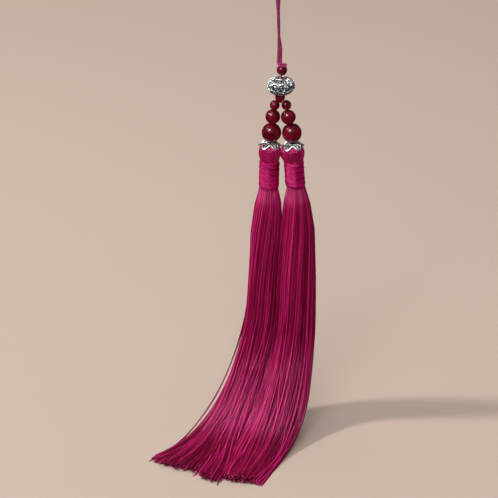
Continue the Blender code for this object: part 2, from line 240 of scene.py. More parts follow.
def thread_mesh(name, routes, thick, sides, tones):
    """Round threads as one mesh. Its UV map holds turns round and millimetres along a
    thread. Tones gives a lightness from 0 to 1 for each thread, or for each of its stops."""
    threads, stops, _ = routes.shape
    across, above = carried_frames(routes)
    angles = (2 * math.pi * np.arange(sides) / sides)[:, None]
    radius = np.full(stops, thick / 2)
    radius[[0, -1]] *= END_TAPER
    spokes = across[:, :, None] * np.cos(angles) + above[:, :, None] * np.sin(angles)
    points = routes[:, :, None] + spokes * radius[:, None, None]

    index = np.arange(threads * stops * sides).reshape(threads, stops, sides)
    beside = np.roll(index, -1, axis=2)
    walls = np.stack((index[:, :-1], beside[:, :-1], beside[:, 1:], index[:, 1:]), axis=-1)
    walls = walls.reshape(-1, 4).tolist()
    caps = index[:, 0, ::-1].tolist() + index[:, -1].tolist()
    mesh = bpy.data.meshes.new(name)
    mesh.from_pydata((points * MM).reshape(-1, 3).tolist(), [], walls + caps)

    steps = np.linalg.norm(np.diff(routes, axis=1), axis=2)
    along = np.concatenate((np.zeros((threads, 1)), np.cumsum(steps, axis=1)), axis=1)
    along += (np.arange(threads) * TWIST_START % 1.0 * TWIST_SPREAD)[:, None]
    low = np.broadcast_to(along[:, :-1, None], (threads, stops - 1, sides))
    high = np.broadcast_to(along[:, 1:, None], low.shape)
    turn = np.broadcast_to(np.arange(sides) / sides, low.shape)
    corners = ((turn, low), (turn + 1 / sides, low), (turn + 1 / sides, high), (turn, high))
    uv = np.stack([np.stack(corner, axis=-1) for corner in corners], axis=-2).reshape(-1)
    cap_uv = np.zeros(threads * 2 * sides * 2)
    uv = np.concatenate((uv, cap_uv)).astype(np.float32)
    mesh.uv_layers.new(name="lay").data.foreach_set("uv", uv)
    tone = mesh.attributes.new("tone", "FLOAT", "POINT")
    tones = np.array(tones, float).reshape(threads, -1, 1)
    tones = np.broadcast_to(tones, (threads, stops, sides)).astype(np.float32)
    tone.data.foreach_set("value", tones.reshape(-1))
    mesh.shade_smooth()
    return mesh


def twisted_mesh(name, route, thick, pitch, tones):
    """A cord twisted of as many plies as there are tones, along its own line."""
    across, above = carried_frames(route[None])
    steps = np.linalg.norm(np.diff(route, axis=0), axis=1)
    along = np.concatenate(([0], np.cumsum(steps)))
    reach = thick * (1 - PLY_SHARE) / 2
    plies = []
    for ply in range(len(tones)):
        angle = (2 * math.pi * (along / pitch + ply / len(tones)))[:, None]
        plies.append(route + (across[0] * np.cos(angle) + above[0] * np.sin(angle)) * reach)
    return thread_mesh(name, np.array(plies), thick * PLY_SHARE, PLY_SIDES, tones)


def colour_ramp(tree, level, stops):
    """The colour that a ramp gives a level, from its (position, colour) stops in order."""
    ramp = add_node(tree, "ValToRGB", {"Fac": level})
    elements = ramp.color_ramp.elements
    for element, (position, colour) in zip(elements, (stops[0], stops[-1])):
        element.position = position
        element.color = (*colour, 1.0)
    for position, colour in stops[1:-1]:
        elements.new(position).color = (*colour, 1.0)
    return ramp.outputs["Color"]


def silk_material(name, colours, roughness, plies, pitch, tint=SILK_TINT):
    """Twisted silk thread: raised plies with painted light on crowns and painted shade in grooves,
    a tone for each thread and slow mottling. Colours are its dark, deep and light ones."""
    material, shader = plain_material(name, colours[0], roughness)
    tree = material.node_tree
    lay = add_node(tree, "UVMap", {}, uv_map="lay")
    apart = add_node(tree, "SeparateXYZ", {0: lay.outputs["UV"]})
    all_plies = 2 * math.pi * plies
    round_it = reckon(tree, "MULTIPLY", apart.outputs["X"], all_plies)
    wound = reckon(tree, "MULTIPLY_ADD", apart.outputs["Y"], all_plies / pitch, round_it)
    ridge = reckon(tree, "SINE", wound)
    relief = add_node(tree, "Bump", {**PLY_RELIEF, "Height": ridge})
    place = add_node(tree, "TexCoord", {})
    mottle = add_node(
        tree,
        "TexNoise",
        {"Scale": MOTTLE_SCALE, "Detail": 3.0, "Vector": place.outputs["Object"]},
    )
    tone = add_node(tree, "Attribute", {}, attribute_name="tone")
    # painted light on the plies' crowns and painted shade in their grooves
    crown = reckon(tree, "MULTIPLY_ADD", ridge, CROWN_PAINTED_LIGHT, tone.outputs["Fac"])
    shade = reckon(tree, "MULTIPLY_ADD", mottle.outputs["Fac"], MOTTLE_LIGHT, crown)
    finish = {
        "IOR": SILK_IOR,
        "Specular IOR Level": 1.0,
        "Specular Tint": (*tint, 1.0),
        "Normal": relief.outputs["Normal"],
        "Base Color": colour_ramp(tree, shade, list(zip(SILK_STOPS, colours))),
    }
    set_sockets(tree, shader, finish)
    return material


def add_piece(name, mesh, material, slot, *nodes):
    """Sets a finished mesh in the scene, in place of the solids that it dresses."""
    mesh.materials.append(material)
    piece = bpy.data.objects.new(name, mesh)
    bpy.context.scene.collection.objects.link(piece)
    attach(piece, "root")
    if nodes:
        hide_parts(*nodes)
    return piece


cord_silk = silk_material("fuchsia cord silk", CORD_COLOURS, roughness=0.42, plies=1, pitch=1.2)
up_side = []
down_side = []
for drop, aside, apart_by, turn_deg in TWIST_ROWS:
    cord_x = apart_by * math.cos(math.radians(turn_deg))
    cord_y = apart_by * math.sin(math.radians(turn_deg))
    up_side.append((aside - cord_x, -cord_y, -drop))
    down_side.append((aside + cord_x, cord_y, -drop))
eye_side = []
for angle_deg in EYE_ANGLES:
    eye_x = EYE_RADIUS * math.cos(math.radians(angle_deg))
    eye_z = EYE_RADIUS * math.sin(math.radians(angle_deg)) - EYE_RADIUS + CORD_THICK / 2
    eye_side.append((eye_x, 0, eye_z))
cord_route = smooth_route(up_side + eye_side + down_side[::-1], CORD_STEP)
cord_mesh = twisted_mesh("hanging_cord", cord_route, CORD_THICK, CORD_PITCH, CORD_TONES)
hanging_cord = add_piece("hanging_cord", cord_mesh, cord_silk, "cord", "hang_cord")

# ---------------------------------------------------------------- knot
# The cord's two sides are tied off in a small overhand knot that sits on the top bead, with
# its curl over the bead to the right.
KNOT_ROUTE = (
    (0.35, 0.1, -43.0), (0.45, -0.5, -44.2), (1.2, -1.4, -45.0), (2.3, -1.8, -45.3),
    (3.1, -1.6, -45.2), (3.6, -1.1, -44.95), (3.5, -0.7, -44.7), (3.0, -0.7, -44.6),
    (2.4, -0.9, -44.6), (1.8, -0.9, -44.5), (1.3, -0.4, -44.0), (1.2, 0.2, -43.6),
)
KNOT_TONES = (0.15, 0.5, 0.3)

knot_route = smooth_route(KNOT_ROUTE, CORD_STEP)
knot_mesh = twisted_mesh("cord_knot", knot_route, CORD_THICK, CORD_PITCH, KNOT_TONES)
add_piece("cord_knot", knot_mesh, cord_silk, "cord", "knot")

# ---------------------------------------------------------------- agate beads
# Eight round beads of dark red agate, polished and drilled through. Each string carries a
# small, a middle and a large one, and two small ones sit above and below the spacer.
# each bead's diameter, the thread that it hangs on, and how far below its solid it sits
BEADS = {
    "top_bead": (4.3, "stem", 0.25),
    "centre_bead": (4.1, "stem", 0.0),
    "small_bead_left": (4.1, "left", 0.0),
    "middle_bead_left": (6.14, "left", 0.0),
    "large_bead_left": (8.14, "left", 0.0),
    "small_bead_right": (4.1, "right", 0.0),
    "middle_bead_right": (6.14, "right", 0.0),
    "large_bead_right": (8.14, "right", 0.0),
}
BORE_RADIUS = 0.42
BORE_EDGE = 50.0  # degrees; a sharper corner than this shows as an edge
BEAD_PROFILE_STEPS = 30
BEAD_SPIN_STEPS = 56
WELD = 0.002  # points nearer than this are one
AGATE_FINISH = {
    "Specular IOR Level": 0.19,
    "Coat Weight": 0.05,
    "Coat Roughness": 0.07,
    "Subsurface Weight": 0.3,
    "Subsurface Radius": (1.0, 0.06, 0.05),
    "Subsurface Scale": 0.0025,
}
AGATE_CLOUD = {"Scale": 240.0, "Detail": 5.0, "Distortion": 1.4}
AGATE_STOPS = ((0.32, (0.065, 0.001, 0.007)), (0.72, (0.235, 0.005, 0.027)))


def solid_middle(node):
    """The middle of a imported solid, in millimetres."""
    low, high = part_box(node)
    return (low + high) / 2 / MM


def finish_mesh(name, bm, sharp_deg=180.0):
    """Closes a bmesh off as a smooth mesh in metres."""
    bmesh.ops.remove_doubles(bm, verts=bm.verts, dist=WELD)
    bmesh.ops.recalc_face_normals(bm, faces=bm.faces)
    bmesh.ops.scale(bm, verts=bm.verts, vec=(MM, MM, MM))
    mesh = bpy.data.meshes.new(name)
    bm.to_mesh(mesh)
    bm.free()
    mesh.shade_smooth()
    if sharp_deg < 180.0:
        mesh.set_sharp_from_angle(angle=math.radians(sharp_deg))
    return mesh


def spin_round(bm, steps):
    """Spins all that a bmesh holds right round Z."""
    bmesh.ops.spin(
        bm,
        geom=bm.verts[:] + bm.edges[:],
        cent=(0, 0, 0),
        axis=(0, 0, 1),
        angle=2 * math.pi,
        steps=steps,
        use_merge=True,
    )


def turned(profile, steps):
    """A bmesh spun about Z from (radius, height) points, as one closed ring of wall."""
    bm = bmesh.new()
    verts = [bm.verts.new((radius, 0, height)) for radius, height in profile]
    for before, after in zip(verts, verts[1:] + verts[:1]):
        bm.edges.new((before, after))
    spin_round(bm, steps)
    return bm


agate, agate_shader = plain_material("dark red agate", (0.12, 0.002, 0.012), roughness=0.2)
agate_tree = agate.node_tree
agate_place = add_node(agate_tree, "TexCoord", {}).outputs["Object"]
agate_cloud = add_node(agate_tree, "TexNoise", {**AGATE_CLOUD, "Vector": agate_place})
agate_colour = colour_ramp(agate_tree, agate_cloud.outputs["Fac"], AGATE_STOPS)
set_sockets(agate_tree, agate_shader, {**AGATE_FINISH, "Base Color": agate_colour})

strings = {"stem": [], "left": [], "right": []}
for node, (_, string, _) in BEADS.items():
    strings[string].append(solid_middle(node))
for node, (diameter, string, sunk) in BEADS.items():
    half = diameter / 2
    start = math.asin(BORE_RADIUS / half)
    bead_profile = []
    for step in range(BEAD_PROFILE_STEPS + 1):
        angle = start + (math.pi - 2 * start) * step / BEAD_PROFILE_STEPS
        bead_profile.append((half * math.sin(angle), half * math.cos(angle)))
    bead_bm = turned(bead_profile, BEAD_SPIN_STEPS)
    bore_way = (strings[string][-1] - strings[string][0]).normalized()
    turn = Vector((0, 0, -1)).rotation_difference(bore_way).to_matrix().to_4x4()
    place = Matrix.Translation(solid_middle(node) - Vector((0, 0, sunk)))
    bmesh.ops.transform(bead_bm, verts=bead_bm.verts, matrix=place @ turn)
    bead_mesh = finish_mesh("agate_" + node, bead_bm, BORE_EDGE)
    add_piece("agate_" + node, bead_mesh, agate, "agate", node)

# ---------------------------------------------------------------- threads in the beads
# The cord goes on below the knot as a stem through the spacer. Under the centre bead it parts
# into two finer threads, one down each string and into the tassel's head.
STEM_THICK = 0.7
STEM_PITCH = 2.0
STEM_TONES = (0.0, 0.12)
STEM_TOP = (2.2, 0.0, -44.6)
FORK = (1.6, 0.0, -61.5)
LEG_THICK = 0.5
LEG_PITCH = 1.6
LEG_TONES = (0.15, 0.3)
LEG_START = (0.75, 0.2)  # how far aside of the fork and above it a leg sets off
THREAD_STEP = 0.15

stem_route = smooth_route([STEM_TOP, *strings["stem"], FORK], THREAD_STEP)
stem_mesh = twisted_mesh("stem_cord", stem_route, STEM_THICK, STEM_PITCH, STEM_TONES)
add_piece("stem_cord", stem_mesh, cord_silk, "cord", "stem_thread")
for side, sign in (("left", -1), ("right", 1)):
    aside, above = LEG_START
    fork_side = Vector(FORK) + Vector((sign * aside, 0, above))
    low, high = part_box("leg_thread_" + side)
    leg_end = Vector((low.x if side == "left" else high.x, 0, low.z)) / MM
    leg_end.x -= sign * LEG_THICK / 2
    leg_end.y = strings[side][-1].y
    leg_route = smooth_route([Vector(FORK), fork_side, *strings[side], leg_end], THREAD_STEP)
    leg_mesh = twisted_mesh("leg_" + side, leg_route, LEG_THICK, LEG_PITCH, LEG_TONES)
    add_piece("leg_" + side, leg_mesh, cord_silk, "cord", "leg_thread_" + side)

# ---------------------------------------------------------------- lotus spacer
# A hollow spacer of antiqued silver alloy in the form of a lotus. Leaf-shaped loops of wire
# stand round a dark body, with domed studs in and between them and grains on the wires.
LOTUS_NODE = "lotus_bead"
LOTUS_SEED = 3
# height above the spacer's middle, radius of the wirework there
LOTUS_LINE = (
    (-3.9, 2.2), (-3.5, 3.2), (-2.8, 4.2), (-1.8, 4.9), (-0.6, 5.25), (0.5, 5.3), (1.3, 5.05),
    (1.9, 4.5), (2.4, 3.6), (2.65, 2.9), (2.8, 2.2),
)
# radius, height
LOTUS_BODY = (
    (0.7, -3.2), (1.6, -3.3), (2.7, -3.0), (3.6, -2.2), (4.15, -1.1), (4.4, 0.2), (4.2, 1.2),
    (3.5, 1.9), (2.9, 2.15), (2.2, 2.25), (1.4, 2.2), (0.7, 2.1),
)
LOTUS_BODY_STEPS = 64
LOTUS_WIRE = 0.36
WIRE_TONES = (0.1, 0.6, 1.0)
# loops of wire: count, first angle, foot, tip, half width, how far the tip stands out
LOTUS_LOOPS = (
    (12, 0.0, -1.9, 2.0, 1.12, 0.35),
    (12, 15.0, -3.7, -1.0, 1.0, 0.5),
    (12, 15.0, 1.3, 2.78, 0.66, 0.15),
)
LOOP_STOPS = 34
LOOP_WIDEST = 0.9  # under 1 sets a loop's widest place below its middle
LOOP_FULLNESS = 0.75  # under 1 makes its sides rounder
LOOP_REACH = 4.9  # radius at which a loop has its stated width
# domed studs: count, first angle, height, how far out, (half width, half depth, half height)
LOTUS_STUDS = (
    (12, 0.0, 0.15, 0.95, (0.42, 0.42, 0.8)),
    (12, 15.0, -0.4, 1.0, (0.24, 0.28, 0.24)),
    (12, 15.0, 0.85, 1.0, (0.24, 0.28, 0.24)),
    (12, 15.0, -2.6, 0.96, (0.36, 0.36, 0.55)),
    (12, 0.0, -2.3, 0.98, (0.24, 0.28, 0.24)),
    (12, 15.0, 1.95, 0.98, (0.2, 0.22, 0.2)),
    (8, 22.5, 2.3, 0.41, (0.32, 0.45, 0.2)),
)
STUD_WORN = (0.3, 0.9)
STUD_SEGMENTS = (16, 10)
# grains soldered to the wires: count, first angle, height, how far they stand out
LOTUS_GRAINS = (
    (24, 7.5, -2.0, 0.42), (24, 0.0, -1.2, 0.5), (24, 7.5, -0.3, 0.45), (24, 0.0, 0.55, 0.4),
    (24, 7.5, 1.3, 0.38), (24, 0.0, 2.0, 0.3),
)
GRAIN_RADIUS = 0.17
GRAIN_SUNK = 0.15  # the most that a grain sits deeper
GRAIN_WORN = (0.1, 1.0)
GRAIN_SEGMENTS = (8, 6)
# wires that run right round: height, radius
LOTUS_HOOPS = ((-3.75, 2.6), (2.8, 2.2), (2.45, 0.85))
SILVER_STOPS = ((0.5, (0.54, 0.55, 0.56)), (0.7, (0.87, 0.88, 0.9)))
SILVER_DARK = 0.3  # brightness at and below which silver has its hollows' tone
GRIME = {"Scale": 1500.0, "Detail": 3.0}
GRIME_SHARE = 1.4  # how much the fine grime counts beside the rubbing
RUBBED_SHARE = 0.8
UNRUBBED = -0.5
SILVER_ROUGHNESS = (0.5, 0.36)  # in the hollows, where it is rubbed
SCRATCHES = {"Strength": 0.35, "Distance": 0.00008}


def on_lotus(angle, height, stand_off=0.0):
    """A point of the wirework at an angle from the front, in radians, and a height."""
    heights, radii = np.array(LOTUS_LINE).T
    reach = np.interp(height, heights, radii) + stand_off
    point = (reach * np.sin(angle), -reach * np.cos(angle), height * np.ones_like(reach))
    return np.stack(point, -1)


def angles_round(count, first_deg):
    """Even angles right round, in radians."""
    return [math.radians(first_deg) + 2 * math.pi * k / count for k in range(count)]


def silver_material(name, rubbed_by, dark):
    """Antiqued silver: bright where it is rubbed, dark in its hollows, with fine scratches.
    The mesh attribute rubbed_by says how much it is rubbed, and dark is the hollows' tone."""
    material, shader = plain_material(name, (0.7, 0.7, 0.7), roughness=0.3, metallic=1.0)
    tree = material.node_tree
    place = add_node(tree, "TexCoord", {}).outputs["Object"]
    grime = add_node(tree, "TexNoise", {**GRIME, "Vector": place})
    rubbed = add_node(tree, "Attribute", {}, attribute_name=rubbed_by).outputs["Fac"]
    lifted = reckon(tree, "MULTIPLY_ADD", rubbed, RUBBED_SHARE, UNRUBBED)
    bright = reckon(tree, "MULTIPLY_ADD", grime.outputs["Fac"], GRIME_SHARE, lifted)
    stops = ((SILVER_DARK, (dark, dark, dark)), *SILVER_STOPS)
    colour = colour_ramp(tree, bright, stops)
    dull, polished = SILVER_ROUGHNESS
    gloss = add_node(tree, "MapRange", {"To Min": dull, "To Max": polished, "Value": bright})
    relief = add_node(tree, "Bump", {**SCRATCHES, "Height": grime.outputs["Fac"]})
    finish = {
        "Base Color": colour,
        "Roughness": gloss.outputs["Result"],
        "Normal": relief.outputs["Normal"],
    }
    set_sockets(tree, shader, finish)
    return material


def add_ball(bm, worn_layer, matrix, radius, segments, worn):
    """Adds a ball, of so many segments round and up, rubbed to the worn amount."""
    ball = bmesh.ops.create_uvsphere(
        bm, u_segments=segments[0], v_segments=segments[1], radius=radius, matrix=matrix
    )
    for vert in ball["verts"]:
        vert[worn_layer] = worn


silver = silver_material("antique silver alloy", "worn", dark=0.13)
silver_wire = silver_material("rubbed silver wire", "tone", dark=0.1)
lotus_middle = np.array(solid_middle(LOTUS_NODE))
lotus_draw = random.Random(LOTUS_SEED)
wires = []
up = np.sin(np.linspace(0, math.pi / 2, LOOP_STOPS // 2)) ** 2
rise = np.concatenate((up, up[::-1]))
for count, first_deg, foot, tip, half_width, flare in LOTUS_LOOPS:
    side_width = half_width * np.sin(math.pi * up**LOOP_WIDEST) ** LOOP_FULLNESS
    aside = np.concatenate((side_width, -side_width[::-1])) / LOOP_REACH
    height = foot + (tip - foot) * rise
    for angle in angles_round(count, first_deg):
        wires.append(on_lotus(angle + aside, height, flare * rise**3))
hoop_turn = np.linspace(math.pi, 3 * math.pi, LOOP_STOPS)
for height, reach in LOTUS_HOOPS:
    ring = (reach * np.sin(hoop_turn), -reach * np.cos(hoop_turn), np.full(LOOP_STOPS, height))
    wires.append(np.stack(ring, -1))
wires = np.array(wires) + lotus_middle
wire_tones = [[lotus_draw.choice(WIRE_TONES) for _ in range(LOOP_STOPS)] for _ in wires]
wire_mesh = thread_mesh("lotus_wires", wires, LOTUS_WIRE, PLY_SIDES, wire_tones)
add_piece("lotus_wires", wire_mesh, silver_wire, "silver", LOTUS_NODE)

lotus_bm = turned(LOTUS_BODY, LOTUS_BODY_STEPS)
lotus_worn = lotus_bm.verts.layers.float.new("worn")
for count, first_deg, height, out, size in LOTUS_STUDS:
    for angle in angles_round(count, first_deg):
        spot = Vector(on_lotus(angle, height)) * out
        spot.z = height
        matrix = Matrix.Translation(spot) @ Matrix.Rotation(angle, 4, "Z")
        matrix = matrix @ Matrix.Diagonal((*size, 1.0))
        worn = lotus_draw.uniform(*STUD_WORN)
        add_ball(lotus_bm, lotus_worn, matrix, 1.0, STUD_SEGMENTS, worn)
bmesh.ops.translate(lotus_bm, verts=lotus_bm.verts, vec=lotus_middle)
add_piece("lotus_body", finish_mesh("lotus_body", lotus_bm), silver, "silver", LOTUS_NODE)

grains_bm = bmesh.new()
grains_worn = grains_bm.verts.layers.float.new("worn")
for count, first_deg, height, stand_off in LOTUS_GRAINS:
    for angle in angles_round(count, first_deg):
        proud = stand_off - lotus_draw.uniform(0.0, GRAIN_SUNK)
        spot = Vector(on_lotus(angle, height, proud) + lotus_middle)
        matrix = Matrix.Translation(spot) @ Matrix.Rotation(angle, 4, "Z")
        worn = lotus_draw.choice(GRAIN_WORN)
        add_ball(grains_bm, grains_worn, matrix, GRAIN_RADIUS, GRAIN_SEGMENTS, worn)
add_piece("lotus_grains", finish_mesh("lotus_grains", grains_bm), silver, "silver", LOTUS_NODE)

# ---------------------------------------------------------------- bead caps
# A shallow cast cap of five drooping petals sits on each tassel's head. Its edge is a rounded
# bright lip, and three ribs run out from the collar over each darkened petal.
# foot (right, back, up), sideways lean and the way that the skirt bends, both in degrees
NECKS = {
    "left": {"foot": (-3.0, 1.0, -99.1), "lean": 1.2, "heading": 33.0},
    "right": {"foot": (8.2, -1.0, -98.7), "lean": -4.3, "heading": 20.0},
}
CAP_TOP = {"left": -79.0, "right": -78.6}
CAP_PETALS = 5
CAP_BORE = 0.75
CAP_RIM = (3.5, 5.1)  # radius in a notch, at a petal's tip
CAP_FALL = (0.2, 2.0)  # how far the rim falls in a notch, at a petal's tip
CAP_DROOP = 2.2  # over 1 keeps the fall to the petals' outer part
CAP_THICK = 0.4
CAP_RINGS = 22
CAP_SPIN_STEPS = 150
# the rounded lip and collar: place from the bore, 0, to the rim, 1, and width
CAP_LIP = (0.93, 0.085)
CAP_COLLAR = (0.14, 0.12)
RIBS = 3  # on each petal
RIB_SHARPNESS = 3
RIB_TAPER = 1.5  # towards the bore and the rim
# how far each stands up and how much it is rubbed
LIP_LIFT, COLLAR_LIFT, RIB_LIFT = 0.5, 0.35, 0.28
LIP_WORN, COLLAR_WORN, RIB_WORN, HOLLOW_WORN = 1.1, 0.8, 0.7, 0.05
CAP_SUNK = 0.2  # how far the hollows lie under the cap's own line
CAP_LOWER = 0.25  # how far that line starts below the solid's top


def neck_matrix(side):
    """From a tassel's own axis, with its neck's foot at the origin, to its place."""
    neck = NECKS[side]
    lean = Matrix.Rotation(math.radians(neck["lean"]), 4, "Y")
    return Matrix.Translation(neck["foot"]) @ lean


def between(ends, share):
    """A value from the first end to the second."""
    return ends[0] + (ends[1] - ends[0]) * share


def rounded_ridge(place, middle, width):
    """How high a ridge of that middle and width is at a place, from 0 to 1."""
    return math.exp(-(((place - middle) / width) ** 2))


cap_silver = silver_material("cast silver alloy", "worn", dark=0.04)
for side in NECKS:
    cap_bm = bmesh.new()
    cap_worn = cap_bm.verts.layers.float.new("worn")
    first = [cap_bm.verts.new((0, CAP_BORE + ring, 0)) for ring in range(CAP_RINGS)]
    for before, after in zip(first, first[1:]):
        cap_bm.edges.new((before, after))
    spin_round(cap_bm, CAP_SPIN_STEPS)
    for vert in cap_bm.verts:
        out = (vert.co.xy.length - CAP_BORE) / (CAP_RINGS - 1)
        angle = math.atan2(vert.co.y, vert.co.x) - math.pi / 2
        petal = math.cos(angle * CAP_PETALS / 2) ** 2
        radius = CAP_BORE + (between(CAP_RIM, petal) - CAP_BORE) * out
        fall = between(CAP_FALL, petal) * out**CAP_DROOP
        lip = rounded_ridge(out, *CAP_LIP)
        collar = rounded_ridge(out, *CAP_COLLAR)
        crest = max(0.0, math.cos(angle * CAP_PETALS * RIBS)) ** RIB_SHARPNESS
        ribs = crest * math.sin(math.pi * min(1.0, out)) ** RIB_TAPER
        lift = LIP_LIFT * lip + COLLAR_LIFT * collar + RIB_LIFT * ribs - CAP_SUNK
        worn = HOLLOW_WORN + LIP_WORN * lip + COLLAR_WORN * collar + RIB_WORN * ribs
        height = CAP_TOP[side] - NECKS[side]["foot"][2] - CAP_LOWER - fall + lift
        place = Vector((radius, 0, height))
        place.rotate(Matrix.Rotation(angle + math.pi / 2, 3, "Z"))
        vert.co = place
        vert[cap_worn] = min(1.0, worn)
    bmesh.ops.remove_doubles(cap_bm, verts=cap_bm.verts, dist=WELD)
    bmesh.ops.recalc_face_normals(cap_bm, faces=cap_bm.faces)
    if sum(face.normal.z for face in cap_bm.faces) < 0:
        bmesh.ops.reverse_faces(cap_bm, faces=cap_bm.faces)
    bmesh.ops.solidify(cap_bm, geom=cap_bm.faces[:], thickness=CAP_THICK)
    bmesh.ops.transform(cap_bm, verts=cap_bm.verts, matrix=neck_matrix(side))
    cap_mesh = finish_mesh("cap_" + side, cap_bm)
    add_piece("cap_" + side, cap_mesh, cap_silver, "silver", "bead_cap_" + side)

# ---------------------------------------------------------------- heads
# The silk strands are folded over the thread at the top and drawn down, so the head is a round
# bulge of upright strands under the cap. A core of packed silk fills it and the neck.
HEAD_THICK = 0.494  # of one strand
HEAD_SIDES = 6
HEAD_STRANDS = 60
HEAD_LAYERS = (0.0, 0.36)  # how far in each layer lies
HEAD_STEP = 0.5
HEAD_STOPS = 22  # the strands end out of sight, under the binding
HEAD_JITTER = 0.16  # of a strand's place round the head, beside its spacing
HEAD_PROUD = 0.1
HEAD_EVEN_RADIUS = 4  # nearer the axis than this they lie more evenly
HEAD_SWAY = 0.05
SWAY_WAVE = 0.9
HEAD_FULLNESS = {"left": 1.06, "right": 1.17}  # beside HEAD_LINE's radii
HEAD_ASIDE = {"left": 0.0, "right": -0.4}
BULGE_FOOT = 12  # the fullness and the sideways shift begin at this height
BULGE_RISE = 3
# lightness of each head's strands; the right head's are lower, painted shade
HEAD_TONES = {"left": (0.22, 0.78), "right": (0.1, 0.6)}
# height above the neck's foot, radius of the strands' middles
HEAD_LINE = (
    (18.9, 1.5), (18.8, 2.5), (18.2, 3.4), (17.2, 3.95), (16.0, 4.1), (15.0, 4.14), (14.2, 4.05),
    (13.4, 3.9), (12.4, 3.75), (11.0, 3.6),
)
# radius, height above the neck's foot
CORE_LINE = (
    (0.0, -2.0), (3.0, -2.0), (3.3, 0.5), (3.35, 12.0), (3.7, 15.0), (3.5, 17.2), (2.7, 18.3),
    (0.8, 18.6), (0.8, 16.0), (0.0, 16.0),
)
CORE_STEPS = 48
STRAND_SEEDS = {"left": 5, "right": 8}
HEAD_COLOURS = ((0.1, 0.0002, 0.012), (0.345, 0.0025, 0.056), (0.76, 0.021, 0.23))
head_silk = silk_material("fuchsia silk strand", HEAD_COLOURS, roughness=0.28, plies=2, pitch=1.9)


def to_side(routes, side):
    """Moves routes from a tassel's own axis to its place."""
    matrix = np.array(neck_matrix(side))
    return routes @ matrix[:3, :3].T + matrix[:3, 3]


for side in NECKS:
    draw = random.Random(STRAND_SEEDS[side])
    head_routes = []
    for layer, inset in enumerate(HEAD_LAYERS):
        for k in range(HEAD_STRANDS):
            jitter = draw.uniform(-HEAD_JITTER, HEAD_JITTER)
            angle = 2 * math.pi * (k + layer / 2 + jitter) / HEAD_STRANDS
            proud = draw.uniform(-HEAD_PROUD, HEAD_PROUD) - inset
            sway = draw.uniform(-HEAD_SWAY, HEAD_SWAY)
            points = []
            for height, radius in HEAD_LINE:
                here = angle + sway * math.sin(height * SWAY_WAVE)
                bulge = min(1.0, max(0.0, (height - BULGE_FOOT) / BULGE_RISE))
                fullness = 1 + (HEAD_FULLNESS[side] - 1) * bulge
                reach = radius * fullness + proud * min(1.0, radius / HEAD_EVEN_RADIUS)
                aside = HEAD_ASIDE[side] * bulge
                points.append((reach * math.cos(here) + aside, reach * math.sin(here), height))
            head_routes.append(smooth_route(points, HEAD_STEP)[:HEAD_STOPS])
    shortest = min(len(route) for route in head_routes)
    head_routes = np.array([route[:shortest] for route in head_routes])
    head_tones = [draw.uniform(*HEAD_TONES[side]) for _ in head_routes]
    head_routes = to_side(head_routes, side)
    head_mesh = thread_mesh("head_" + side, head_routes, HEAD_THICK, HEAD_SIDES, head_tones)
    add_piece("head_" + side, head_mesh, head_silk, "silk", "tassel_" + side)
    core_bm = turned(CORE_LINE, CORE_STEPS)
    bmesh.ops.transform(core_bm, verts=core_bm.verts, matrix=neck_matrix(side))
    core_mesh = finish_mesh("core_" + side, core_bm)
    add_piece("core_" + side, core_mesh, head_silk, "silk")

# ---------------------------------------------------------------- neck bindings
# One fine fuchsia thread is wound round each neck in two layers of close turns. The inner turns
# lie level, the outer ones slant, a few cross them, and the thread's end is tucked under.
BINDING_SEEDS = {"left": 25, "right": 28}
BINDING_THICK = 0.56
BINDING_PITCH = 0.6
BINDING_SIDES = 8
BINDING_STEPS = 40  # stops in one turn
BINDING_LAYERS = (0.0, 0.36)  # how far in each layer lies
BINDING_BED = 0.04  # how far the thread beds into the silk
# height above the neck's foot, outer radius
BINDING_LINES = {
    "left": ((-0.5, 4.1), (0.6, 4.3), (5.5, 4.26), (10.4, 4.3), (11.8, 4.15)),
    "right": ((0.9, 4.1), (2.0, 4.25), (6.5, 4.15), (11.2, 4.2), (12.7, 4.1)),
}
KNOCK = 0.09  # the most that a turn lies out of its place, up or down
SWELL_SHARE = 0.6  # and in or out, beside that
WOUND_SLANT = 1.5  # how far an outer turn drops from the left of the neck to its middle
SLANT_EASE = 0.8  # how fast the slant begins at the binding's ends
SLANT_PHASE = 1.3
WOUND_TONE = 0.42
TONE_STEP = 0.2  # painted light and shade that sets the turns apart: every other turn is lighter by this, and the rest darker
TONE_SPREAD = 0.14
TONE_SHIFT = 0.45  # of a turn, so that the tone changes at the left
UNDER_TONE = 0.5  # the inner layer's tone beside the outer one's, painted shade under the outer turns
CROSSING_TURNS = 5
CROSSING_ENDS = (1.6, 1.2)  # how far inside the binding's foot and top they stay
CROSSING_ROOM = (0.8, 0.6)  # what their slant leaves free there
CROSSING_PHASE = 0.6
CROSSING_BED = 0.2
CROSSING_TONES = (0.35, 0.7)
MOST_SLANT = 1.6
LEAST_SLANT = 0.3  # beside the most that there is room for
BINDING_COLOURS = ((0.1, 0.0001, 0.015), (0.36, 0.001, 0.064), (0.8, 0.006, 0.22))
BINDING_TINT = (1.0, 0.13, 0.45)
binding_silk = silk_material(
    "fuchsia wrapping silk", BINDING_COLOURS, roughness=0.22, plies=2, pitch=1.5, tint=BINDING_TINT
)


def wound_route(radius, angle, height):
    """The points of a thread wound round a neck's axis."""
    return np.stack((radius * np.cos(angle), radius * np.sin(angle), height), axis=1)


